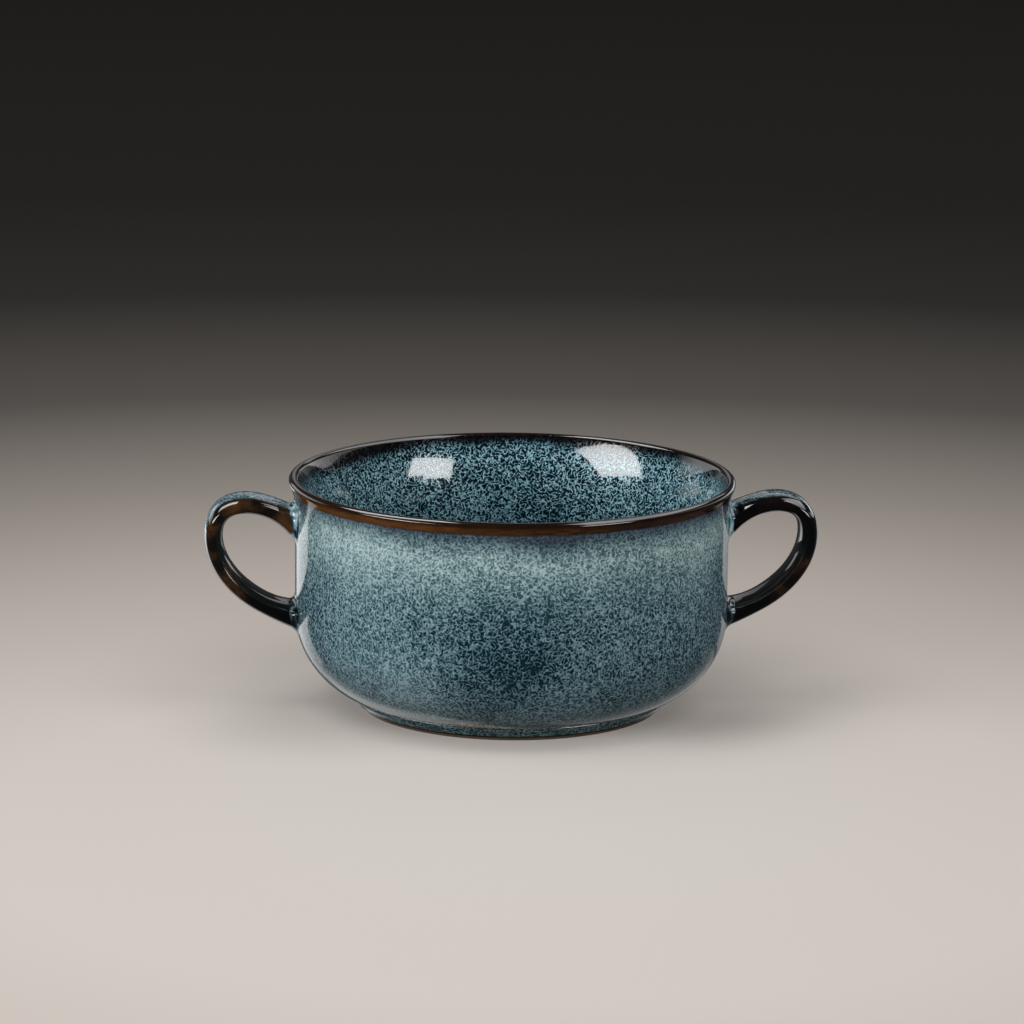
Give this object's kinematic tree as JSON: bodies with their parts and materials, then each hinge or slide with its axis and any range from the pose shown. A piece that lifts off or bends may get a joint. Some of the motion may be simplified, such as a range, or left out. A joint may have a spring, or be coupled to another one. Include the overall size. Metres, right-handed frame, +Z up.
{
  "type": "two-handled bowl",
  "caption": "Round glazed ceramic bowl with a flared lip, a foot ring and an ear-shaped strap handle on each side, for soup or other food.",
  "frame": {"origin": "the middle of the foot ring's resting face", "axes": "+Z up out of the bowl, +X through the right handle, +Y away from the viewer"},
  "size_m": [0.1662, 0.1208, 0.063],
  "materials": {
    "body_glaze": "glossy speckled blue-grey reactive glaze over stoneware",
    "foot_clay": "satin glaze on the side, bare brown clay where it rests",
    "handle_glaze": "glossy black-brown glaze with a blue speckled top",
    "joint_glaze": "glossy pooled pale blue glaze"
  },
  "bodies": {
    "root": {"bowl_body": "body_glaze", "foot_ring": "foot_clay", "left_handle": "handle_glaze", "right_handle": "handle_glaze", "left_upper_slip_joint": "joint_glaze", "left_lower_slip_joint": "joint_glaze", "right_upper_slip_joint": "joint_glaze", "right_lower_slip_joint": "joint_glaze"}
  },
  "joints": []
}
